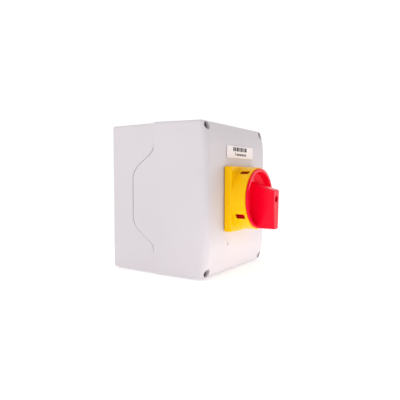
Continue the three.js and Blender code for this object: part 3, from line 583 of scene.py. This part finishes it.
def cover_rings(inset):
    """Rings from just in front of the parting line over the edges to the middle of the face."""
    rings = [ring(outline(COVER_HALF, COVER_CORNER, inset)[0], PARTING_Y - 2.6)]
    share = 1 - inset / WALL
    edge = np.array((3 + 3 * share, 1 + 2 * share))
    half = np.array(COVER_HALF) - COVER_DRAFT
    outside, ways = outline(half, COVER_CORNER, inset)
    inside = outline(half - inset - edge, LEAST_CORNER)[0]
    depth = edge[1] + (edge[0] - edge[1]) * ways[:, 0] ** 2
    for angle in np.linspace(0, math.pi / 2, 9):
        moved = outside + (inside - outside) * (1 - math.cos(angle))
        rings.append(ring(moved, face_y(moved[:, 1], inset) + depth * (1 - math.sin(angle))))
    for share in np.linspace(1, FACE_FLAT / np.abs(inside[:, 1]).max(), 9)[1:]:
        rings.append(ring(inside * share, face_y(inside[:, 1] * share, inset)))
    return rings


def rim_rings(half, corner, side):
    """The rim at the parting gap, from the outer wall round to the inner wall, with the seal's rebate.

    side is -1 for the cover and +1 for the rear housing.
    """
    rings = []
    groove = 2.1 if side < 0 else 1.2
    round_edge = [(0, 0.35), (0.03, 0.2), (0.1, 0.1), (0.2, 0.03), (0.35, 0)]
    for inset, back in round_edge + [(groove, 0), (groove, 1.5), (WALL, 1.5)]:
        points, ways = outline(half, corner, inset)
        rings.append(ring(points, parting_of(points, ways) + side * (gap_at(points, ways) / 2 + back)))
    return rings


def pillars(rear, front, tip):
    """The four screw pillars, their ends tapered into the face over the length tip, which can be 0."""
    parts = []
    for sx in (-1, 1):
        for sz in (-1, 1):
            profile = [(0, rear), (PILLAR_RADIUS, rear), (PILLAR_RADIUS, front)]
            if tip:
                profile.append((3.2, front + tip))
            parts.append(turned(profile + [(0, profile[-1][1])], 40, (sx * PILLAR[0], sz * PILLAR[1])))
    return merged(parts)


def corners(x, z):
    """The four places at these distances from the middle."""
    return [(sx * x, sz * z) for sx in (-1, 1) for sz in (1, -1)]


def make_cover(look):
    """The front cover: a shell with pillars, screw wells, the plate's holes and the dimple."""
    outer = rim_rings(COVER_HALF, COVER_CORNER, -1)
    shell = cover_rings(WALL)[::-1] + outer[::-1] + cover_rings(0.0)
    piece = plain_object("cover", *stack(shell))
    combine(piece, "UNION", plain_object("pillars", *pillars(PARTING_Y - 1.6, -108.4, -2.4)))
    cuts = []
    rear, front = -50, -125
    well = [(0, rear), (SHANK_BORE, rear), (SHANK_BORE, WELL_SEAT)]
    well += [(WELL_RADIUS, WELL_SEAT), (WELL_RADIUS, front), (0, front)]
    for x, z in corners(*PILLAR):
        cuts.append(turned(well, 40, (x, z)))
    cuts += [rod(2.3, FACE_INSIDE, BEYOND_FACE, x, z, 24) for x, z in corners(PLATE_SCREW, PLATE_SCREW)]
    cuts.append(rod(7.0, FACE_INSIDE, BEYOND_FACE))
    cuts.append(turned(DIMPLE, 24, DIMPLE_AT))
    combine(piece, "DIFFERENCE", plain_object("cuts", *merged(cuts)))
    finish_shell(piece, "front_cover_shell", look, "front_cover")


def finish_shell(piece, name, look, node):
    piece.name = name
    piece.data.name = name
    finish_piece(piece, look, "housing", (node,), 32)
    weighted = piece.modifiers.new("weighted", "WEIGHTED_NORMAL")
    weighted.keep_sharp = True


def make_base(look):
    """The rear housing: a shell with pillars, wall holes, the earth bar's holes and knock-out grooves."""
    rings = []
    for angle in np.linspace(0, math.pi / 2, 7):
        points, _ = outline(BASE_HALF, BASE_CORNER, BASE_BACK_EDGE * (1 - math.sin(angle)))
        rings.append(ring(points, -BASE_BACK_EDGE * (1 - math.cos(angle))))
    rings += rim_rings(BASE_HALF, BASE_CORNER, 1)
    for inset, ahead in ((0, 1), (0.3, 0.3), (1, 0)):
        points, _ = outline(BASE_HALF, BASE_CORNER, WALL + inset)
        rings.append(ring(points, -BASE_BACK_WALL - ahead))
    piece = plain_object("base", *stack(rings))
    combine(piece, "UNION", plain_object("pillars", *pillars(-3.2, PARTING_Y + 1.8, 0)))
    cuts = [rod(SHANK_BORE, -33, -60, x, z, 24) for x, z in corners(*PILLAR)]
    cuts += [rod(WALL_HOLE, 5, INSIDE_BASE, x, z, 32) for x, z in corners(*WALL_HOLE_AT)]
    cuts += [rod(1.5, -1, INSIDE_BASE, x, EARTH_Z, 20) for x in (-EARTH_X, EARTH_X)]
    for x, side in ((-KNOCK_OUT_X, 1), (KNOCK_OUT_X, 1), (KNOCK_OUT_X, -1), (-KNOCK_OUT_X, -1)):
        groove = [(radius, side * (BASE_HALF[1] + rise)) for radius, rise in KNOCK_OUT_GROOVE]
        cuts.append(tube(groove, 56, (x, KNOCK_OUT_Y)))
    combine(piece, "DIFFERENCE", plain_object("cuts", *merged(cuts)))
    finish_shell(piece, "rear_housing_shell", look, "rear_housing")


def tube(section, sides, centre):
    """A ring-shaped solid about a vertical axis from a closed (radius, z) section."""
    angles = np.linspace(0, 2 * math.pi, sides, endpoint=False)
    rings = [
        np.stack([centre[0] + r * np.cos(angles), centre[1] + r * np.sin(angles), np.full(sides, z)], 1)
        for r, z in section
    ]
    return stack([*rings, rings[0]], False, False)


# ---------------------------------------------------------------- plate and handle
def radial(x, z, degrees):
    """Distance out along a direction from the shaft, and across it."""
    c, s = math.cos(math.radians(degrees)), math.sin(math.radians(degrees))
    return x * c + z * s, z * c - x * s


def plate_distance(x, y, z):
    """The yellow plate and its collar."""
    h = FRONT - y
    rho = np.hypot(x, z)
    flat = PLATE_HALF - PLATE_CORNER
    qx, qz = np.abs(x) - flat, np.abs(z) - flat
    plan = np.hypot(np.maximum(qx, 0), np.maximum(qz, 0)) + np.minimum(np.maximum(qx, qz), 0) - PLATE_CORNER
    base = round_meet(plan, h - PLATE_TOP, 1.0)
    collar = round_meet(rho - COLLAR_RADIUS, h - COLLAR_TOP, 0.6)
    body = round_join(base, collar, 0.8)
    hollow = round_meet(plan + PLATE_WALL, h - PLATE_HOLLOW_TOP, 0.6)
    from_screw = np.hypot(np.abs(x) - PLATE_SCREW, np.abs(z) - PLATE_SCREW)
    seat = slab(rho, *SEAL_SEAT)
    hollow = round_meet(hollow, -np.minimum(from_screw - PLATE_BOSS, seat), 0.5)
    body = round_meet(body, -hollow, 0.4)
    well = round_meet(rho - COLLAR_INNER, PLATE_TOP - h, 0.5)
    body = round_meet(body, -well, 0.5)
    body = round_meet(body, -(rho - HUB_HOLE), 0.3)
    body = np.maximum(body, -np.maximum(from_screw - PLATE_BORE, h - 7.0))
    for angle in SLOT_ANGLES:
        out, across = radial(x, z, angle)
        mouth = round_meet(np.abs(across) - SLOT_HALF, slab(h, *SLOT_HEIGHTS), 0.8)
        body = round_meet(body, -np.maximum(mouth, SLOT_START - out), 0.2)
        thinned = round_meet(np.abs(across) - THINNED_HALF, slab(h, *THINNED_HEIGHTS), 1.0)
        thinned = np.maximum(thinned, rho - THINNED_RADIUS)
        body = round_meet(body, -np.maximum(thinned, SLOT_START - out), 0.3)
    groove = np.maximum(h - PLATE_GROOVE_TOP, -PLATE_GROOVE_DEPTH - plan)
    return round_meet(round_meet(body, -groove, 0.15), PLATE_REAR - h, 0.2)


def handle_distance(x, y, z):
    """The red handle: dish, grip, hub, bores, the lock bolt's channel and pockets behind the slots."""
    h = FRONT - y
    rho = np.hypot(x, z)
    above_floor = h - DISH_FLOOR
    bowl_wall = (rho - DISH_RADIUS) * 0.979 - above_floor * 0.205  # leans out by about 12 degrees
    bowl = round_meet(bowl_wall, -above_floor, 4.0)
    body = round_meet(h - RIM_TOP, -bowl, 0.7)
    wide = GRIP_HALF_LOW + (z + RIM_RADIUS) * GRIP_TAPER
    side = np.abs(x) - wide + above_floor * 0.012
    slope = (z - GRIP_END_Z) * 0.9604 + above_floor * 0.2788  # leans in by about 16 degrees
    grip = round_meet(side, slope, 1.6)
    grip = round_meet(grip, h - GRIP_TOP, 1.2)
    body = round_join(body, grip, 0.9)
    envelope = np.minimum(np.maximum(rho - RIM_RADIUS, RIM_REAR - h), rho - SKIRT_RADIUS)
    body = round_meet(body, envelope, 0.7)
    body = round_meet(body, HANDLE_REAR - h, 0.4)
    hub = round_meet(rho - HUB_RADIUS, HUB_REAR - h, 0.5)
    body = np.minimum(body, np.maximum(hub, h - 12))
    square = np.maximum(np.abs(x), np.abs(z)) - SHAFT_BORE_HALF
    body = np.maximum(body, -np.maximum(square, h - SHAFT_BORE_TOP))
    body = round_meet(body, -np.maximum(rho - HANDLE_BORE, HANDLE_BORE_SEAT - h), 0.5)
    body = np.maximum(body, -(rho - HANDLE_SHANK_BORE))
    out, across = radial(x, z, SLOT_ANGLES[0])
    channel = np.maximum(np.abs(across) - SLOT_HALF, h - BOLT_CHANNEL_TOP)
    channel = np.maximum(channel, BOLT_CHANNEL_START - out)
    window = round_meet(np.abs(across) - SLOT_HALF, slab(out, *BOLT_WINDOW), 0.3)
    window = np.maximum(np.maximum(window, h - 22), 9 - h)
    body = round_meet(body, -np.minimum(channel, window), 0.3)
    for angle in SLOT_ANGLES[1:]:  # the lock bolt's own channel is at the first one
        out, across = radial(x, z, angle)
        deep = np.maximum(slab(h, 10.3, 14.2), 20.5 - out)
        shallow = np.maximum(slab(h, 10.3, 18.0), 26.3 - out)
        pocket = np.maximum(np.minimum(deep, shallow), np.abs(across) - 2.9)
        body = round_meet(body, -np.maximum(pocket, rho - 29), 0.2)
    return body


def make_controls(looks):
    """The plate and the handle, each from its distance field."""
    plate_low, plate_high = (-PLATE_HALF, -138.4, -PLATE_HALF), (PLATE_HALF, -116.3, PLATE_HALF)
    add_field_piece(
        "yellow_plate", plate_distance, plate_low, plate_high,
        looks["safety_yellow"], "housing", ("front_plate",),
    )
    handle_low, handle_high = (-RIM_RADIUS, -157.3, -RIM_RADIUS), (RIM_RADIUS, -117.5, RIM_RADIUS)
    add_field_piece(
        "red_handle", handle_distance, handle_low, handle_high,
        looks["safety_red"], "handle", ("handle",),
    )


# ---------------------------------------------------------------- seal, label and screws
# Inset from the outline, and half width.
SEAL_SECTION = ((0.3, 0.4), (1.4, 0.4), (1.5, 1.3), (1.7, 1.45), (2.6, 1.45), (2.8, 1.3))
LIP_INSET, LIP_HALF = SEAL_SECTION[0]
LIP_CLEARANCE = 0.06


def make_seal(look):
    """A rubber cord in the parting groove, with a thin lip that reaches out into the gap."""
    section = list(SEAL_SECTION) + [(inset, -along) for inset, along in reversed(SEAL_SECTION)]
    rings = []
    for inset, along in section:
        points, ways = outline(BASE_HALF, BASE_CORNER, inset)
        if inset == LIP_INSET:
            points = points - ways * (1 - (gap_at(points, ways) - PARTING_GAP) / LOBE_EXTRA_GAP)[:, None]
        if abs(along) == LIP_HALF:
            along = np.sign(along) * (gap_at(points, ways) / 2 - LIP_CLEARANCE)
        rings.append(ring(points, parting_of(points, ways) + along))
    points, faces = stack([*rings, rings[0]], False, False)
    add_piece("parting_seal", points, faces, look, "housing", ("cover_seal",), 40)


UPPER_BLOCKS = (  # width, and gap to the next
    (1.9, 0.7), (3.2, 1.3), (4.3, 0.8), (1.6, 1.4), (3.4, 0.7), (1.7, 1.2), (2.2, 0.8), (4.1, 1.0),
)
UPPER_START, UPPER_HEIGHTS = -15.8, (0.9, 4.9)
TALL_BLOCK = (-11.4, -10.4, -3.6, 0.0)
LOWER_BLOCKS = (2.6, 1.9, 2.8, 2.1, 3.0, 1.7, 2.4)
LOWER_START, LOWER_GAP, LOWER_HEIGHTS = -8.4, 0.7, (-3.5, -1.4)


def label_marks():
    """Two rows of plain blocks, not letters, as (left, right, low, high) in the label's own millimetres."""
    marks = []
    left = UPPER_START
    for width, gap in UPPER_BLOCKS:
        marks.append((left, left + width, *UPPER_HEIGHTS))
        left += width + gap
    marks.append(TALL_BLOCK)
    left = LOWER_START
    for width in LOWER_BLOCKS:
        marks.append((left, left + width, *LOWER_HEIGHTS))
        left += width + LOWER_GAP
    return marks


def make_label(looks):
    """The name label: a tape with round corners and soft edges, and its print as a thin raised ink layer."""
    rings = []
    for inset, lift in LABEL_LIFTS:
        points, _ = outline(LABEL_HALF, 1.0, inset)
        points = points + np.array(LABEL_AT)
        rings.append(ring(points, FRONT - LABEL_GAP - lift))
    points, faces = stack(rings)
    tape = looks["label_white"]
    add_piece("label_tape", points, faces, tape, "housing", ("name_label",), 40)
    base, top = FRONT - PRINT_BASE, FRONT - PRINT_TOP
    parts = []
    for left, right, low, high in label_marks():
        outer = np.array([(left, low), (right, low), (right, high), (left, high)]) + LABEL_AT
        middle = outer.mean(0)
        shape = [ring(outer, base), ring(outer, top + 0.02), ring(middle + (outer - middle) * 0.94, top)]
        parts.append(stack(shape))
    points, faces = merged(parts)
    add_piece("label_print", points, faces, looks["print_black"], "housing", (), 30)


THREAD_PITCH = 0.6
THREAD_RIDGE = ((0, -0.12), (0, 0.02), (-0.26, 0.2), (-0.26, 0.4))  # added to the radius and the position
RECESS_HALF = 0.45


def screw_profile(head_radius, head_height, shank_radius, length, thread):
    """(radius, position) pairs from the tip to the top of the head; the seat of the head is at 0."""
    r, start = shank_radius, -length
    profile = [(0, start), (r - 0.45, start), (r - 0.1, start + 0.35)]
    turn = start + 0.7
    while turn < start + thread:
        profile += [(r + sink, turn + along) for sink, along in THREAD_RIDGE]
        turn += THREAD_PITCH
    height, edge = head_height, 0.35
    profile += [(r, turn), (r, -0.15), (r + 0.15, 0), (head_radius - 0.15, 0), (head_radius, 0.15)]
    profile += [(head_radius, height - 2 * edge), (head_radius - 0.1, height - 1.2 * edge)]
    profile += [(head_radius - 0.35, height - 0.6 * edge), (head_radius - 0.9, height - 0.15 * edge)]
    return profile + [(head_radius * 0.55, height), (0, height)]


def screw_mesh(name, head_radius, head_height, shank_radius, length, thread, cross):
    """A machine screw along +Z, its head upwards, with a slot or a cross recess."""
    profile = screw_profile(head_radius, head_height, shank_radius, length, thread)
    piece = plain_object(name, *turned(profile, 36, upright=True))
    depth = head_height * (0.62 if cross else 0.5)
    long = head_radius * (0.62 if cross else 1.4)
    for along_x in (True, False) if cross else (True,):
        loops = []
        for share, w in ((1.0 if not cross else 0.35, head_height - depth), (1.0, head_height + 0.4)):
            a, b = (long * share, RECESS_HALF) if along_x else (RECESS_HALF, long * share)
            loops.append(np.array([(-a, -b, w), (a, -b, w), (a, b, w), (-a, b, w)]))
        combine(piece, "DIFFERENCE", plain_object("recess", *stack(loops)))
    mesh = piece.data
    bpy.data.objects.remove(piece)
    return mesh


SCREW_WAYS = {"front": (math.pi / 2, "X"), "rear": (-math.pi / 2, "X"), "right": (math.pi / 2, "Y")}
# Head radius, head height, shank radius, length, threaded length, cross recess; the way the head points.
SCREWS = {
    "cover_screw": ((3.2, 2.8, 1.9, 69.3, 14, True), "front"),
    "plate_screw": ((3.4, 2.6, 1.7, 14.1, 10, True), "rear"),
    "handle_screw": ((2.8, 2.5, 1.6, 14, 9, True), "front"),
    "earth_screw": ((3.0, 2.0, 1.5, 10, 7, False), "front"),
    "terminal_screw": ((2.8, 2.2, 1.5, 4.7, 3, True), "right"),
    "tie_rod": ((3.0, 2.4, 1.6, 53.2, 9, False), "rear"),
}


def screw_places():
    """Each screw's CAD node, kind, body and seat."""
    order = ((-1, 1), (1, 1), (1, -1), (-1, -1))
    places = []
    for i, (sx, sz) in enumerate(order, 1):
        cover_seat = (sx * PILLAR[0], -107.3, sz * PILLAR[1])
        plate_seat = (sx * PLATE_SCREW, -108.4, sz * PLATE_SCREW)
        places.append((f"cover_screw_{i}", "cover_screw", "housing", cover_seat))
        places.append((f"plate_screw_{i}", "plate_screw", "housing", plate_seat))
    places.append(("handle_screw", "handle_screw", "handle", (0, -139.3, 0)))
    for i, side in enumerate((-1, 1), 1):
        places.append((f"earth_screw_{i}", "earth_screw", "housing", (EARTH_X * side, -14.1, EARTH_Z)))
        places.append((f"tie_rod_{i}", "tie_rod", "housing", (0, -57.5, -23.5 * side)))
    for n in STAGES:
        for end, side in (("top", 1), ("bottom", -1)):
            seat = (14.6, stage_y(n), 21.5 * side)
            places.append((f"terminal_screw_{n}_{end}", "terminal_screw", "housing", seat))
    return places


def stage_y(n):
    """The middle of a contact stage."""
    return FIRST_STAGE + (n - 1) * STAGE_PITCH + STAGE_MIDDLE


def make_screws(looks):
    shapes = {kind: screw_mesh(kind, *sizes) for kind, (sizes, _) in SCREWS.items()}
    for node, kind, body, seat in screw_places():
        angle, axis = SCREW_WAYS[SCREWS[kind][1]]
        mesh = shapes[kind].copy()
        mesh.transform(Matrix.Translation(Vector(seat) * MM) @ Matrix.Rotation(angle, 4, axis))
        piece = bpy.data.objects.new(node + "_turned", mesh)
        bpy.context.scene.collection.objects.link(piece)
        # The cover screws get dark_steel instead of the zinc of their slot, which makes the deep screw wells
        # look darker.
        look = looks["dark_steel"] if kind == "cover_screw" else looks["zinc_steel"]
        finish_piece(piece, look, body, (node,), 35)


# ---------------------------------------------------------------- inside the housing
SAME_PLACE, FLAT_ANGLE, SHARP_ANGLE = 0.002, 0.5, 40  # mm and degrees
EDGE_WIDTH, LEAF_EDGE_WIDTH = 0.25, 0.12


def refine(node, look, width):
    """A finer copy of a CAD node: flat faces joined, sharp edges rounded, round faces shaded smooth."""
    source = frame["nodes"][node]
    cage = bmesh.new()
    cage.from_mesh(source.data)
    bmesh.ops.remove_doubles(cage, verts=cage.verts, dist=SAME_PLACE * MM)
    flat, steep = math.radians(FLAT_ANGLE), math.radians(SHARP_ANGLE)
    bmesh.ops.dissolve_limit(cage, angle_limit=flat, verts=cage.verts, edges=cage.edges)
    sharp = [e for e in cage.edges if len(e.link_faces) == 2 and e.calc_face_angle(0) > steep]
    bmesh.ops.bevel(
        cage, geom=sharp, offset=width * MM, segments=2, profile=0.6, affect="EDGES", clamp_overlap=True,
    )
    bmesh.ops.remove_doubles(cage, verts=cage.verts, dist=SAME_PLACE * MM)
    bmesh.ops.recalc_face_normals(cage, faces=cage.faces)
    mesh = bpy.data.meshes.new(node + "_fine")
    cage.to_mesh(mesh)
    cage.free()
    piece = bpy.data.objects.new(node + "_fine", mesh)
    bpy.context.scene.collection.objects.link(piece)
    finish_piece(piece, look, source["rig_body"], (node,), 35)
    weighted = piece.modifiers.new("weighted", "WEIGHTED_NORMAL")
    weighted.keep_sharp = True


def make_inside(looks):
    """Finer copies of the CAD nodes that no other piece stands for, and the coil springs."""
    done = {"rear_housing", "front_cover", "cover_seal", "name_label", "front_plate", "handle"}
    for row in frame["record"]["subparts"]:
        node, slot = row["node"], row["material_slot"]
        if node in done or "screw" in node or "rod" in node or "bridge_spring" in node:
            continue
        refine(node, looks[slot], LEAF_EDGE_WIDTH if "latch_spring" in node else EDGE_WIDTH)
    for n in STAGES:
        make_coil(n, looks["spring_steel"])


COIL_WIRE, COIL_RADIUS, COIL_TURNS = 0.4, 2.6, 3.0
COIL_SPAN = (16.75, 23.7)  # along X; the second end stays where it is
COIL_CLOSING = ((0, 0.15, 0.85, 1), (0, 0.045, 0.955, 1))  # share of the turns, share of the length
COIL_STEPS, WIRE_SIDES = 160, 12


def make_coil(n, look):
    """A round-wire coil spring behind a contact bridge, drawn at one fixed length."""
    start, end = COIL_SPAN
    length = end - start - 2 * COIL_WIRE
    around = np.linspace(0, 2 * math.pi, WIRE_SIDES, endpoint=False)[:, None]
    rings = []
    for share in np.arange(COIL_STEPS + 1) / COIL_STEPS:
        angle = 2 * math.pi * COIL_TURNS * share
        along = start + COIL_WIRE + length * np.interp(share, *COIL_CLOSING)
        centre = np.array((along, stage_y(n), 0))
        out = np.array((0, math.cos(angle), math.sin(angle)))
        ahead = np.array((1, 0, 0))
        across = out * (COIL_RADIUS + COIL_WIRE * np.cos(around))
        rings.append(centre + across + ahead * COIL_WIRE * np.sin(around))
    points, faces = stack(rings)
    nodes = (f"bridge_spring_{n}",)
    piece = add_piece(f"bridge_coil_{n}", points, faces, look, "housing", nodes, 50)
    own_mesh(piece)


# ---------------------------------------------------------------- setting
def area_light(name, at, target, size, watts):
    """A white lamp, placed in metres, that the camera doesn't see."""
    data = bpy.data.lights.new(name, "AREA")
    data.shape = "RECTANGLE"
    data.size, data.size_y = size
    data.energy = watts
    light = bpy.data.objects.new(name, data)
    light.location = at
    light.visible_camera = False
    light.rotation_euler = (Vector(target) - Vector(at)).to_track_quat("-Z", "Y").to_euler()
    bpy.context.scene.collection.objects.link(light)


WORLD_WAY = (0.6, 0.8, 0.0)  # level, about 20 degrees off the way the main camera looks
WORLD_LOW, WORLD_HIGH = 0.44, 1.03
WORLD_SPAN = (-1.0, 0.5)  # low and high end of the ramp, as cosines of the angle from that way
FLOOR_HALF, FLOOR_Z = 6.0, -0.0752  # metres
FLOOR_GLOW = 0.3


def make_world(scene):
    """A light tent that is white behind the object, seen from the main camera, and darker in front of it."""
    world = bpy.data.worlds.new("tent")
    world.use_nodes = True
    tree = world.node_tree
    background = tree.nodes["Background"]
    background.inputs["Color"].default_value = (1, 1, 1, 1)
    way = tree.nodes.new("ShaderNodeTexCoord").outputs["Generated"]
    facing = tree.nodes.new("ShaderNodeVectorMath")
    facing.operation = "DOT_PRODUCT"
    facing.inputs[1].default_value = WORLD_WAY
    tree.links.new(way, facing.inputs[0])
    ranged = tree.nodes.new("ShaderNodeMapRange")
    limits = (*WORLD_SPAN, WORLD_LOW, WORLD_HIGH)
    for key, value in zip(("From Min", "From Max", "To Min", "To Max"), limits):
        ranged.inputs[key].default_value = value
    tree.links.new(facing.outputs["Value"], ranged.inputs["Value"])
    tree.links.new(ranged.outputs[0], background.inputs["Strength"])
    scene.world = world


def make_setting():
    """The world, a pale floor under the object and the lamps."""
    scene = bpy.context.scene
    scene.view_settings.view_transform = "Standard"
    make_world(scene)
    mesh = bpy.data.meshes.new("floor")
    square = ((-1, -1), (1, -1), (1, 1), (-1, 1))
    mesh.from_pydata([(FLOOR_HALF * x, FLOOR_HALF * y, FLOOR_Z) for x, y in square], [], [(0, 1, 2, 3)])
    floor = bpy.data.objects.new("floor", mesh)
    look = Look("floor", Roughness=0.9, Specular_IOR_Level=0.1, Emission_Strength=FLOOR_GLOW)
    look.shader.inputs["Emission Color"].default_value = (1, 1, 1, 1)
    look.colour(look.mix(look.ranged(look.noise(120, 3), 0, 1), (0.9, 0.9, 0.9), (0.93, 0.93, 0.93)))
    mesh.materials.append(look.material)
    scene.collection.objects.link(floor)
    area_light("high_left", (-1.0, -0.1, 1.2), (0, -0.08, 0), (0.4, 0.4), 0.8)
    area_light("left", (-1.6, 0.0, 0.5), (0, -0.05, 0), (0.8, 0.8), 3.6)
    area_light("front_left", (-0.9, -1.25, 0.3), (0, -0.1, 0), (0.4, 0.8), 0.8)
    area_light("fill_right", (1.15, -0.88, 0.05), (0, -0.12, 0), (0.25, 0.5), 1.6)
    area_light("front_low", (0.0, -0.17, -0.072), (0, -0.112, -0.05), (0.3, 0.012), 0.05)


make_camera()
looks = make_looks()
paint_frame(looks)
make_cover(looks["housing_grey"])
make_base(looks["housing_grey"])
make_controls(looks)
make_seal(looks["seal_rubber"])
make_label(looks)
make_screws(looks)
make_inside(looks)
make_setting()
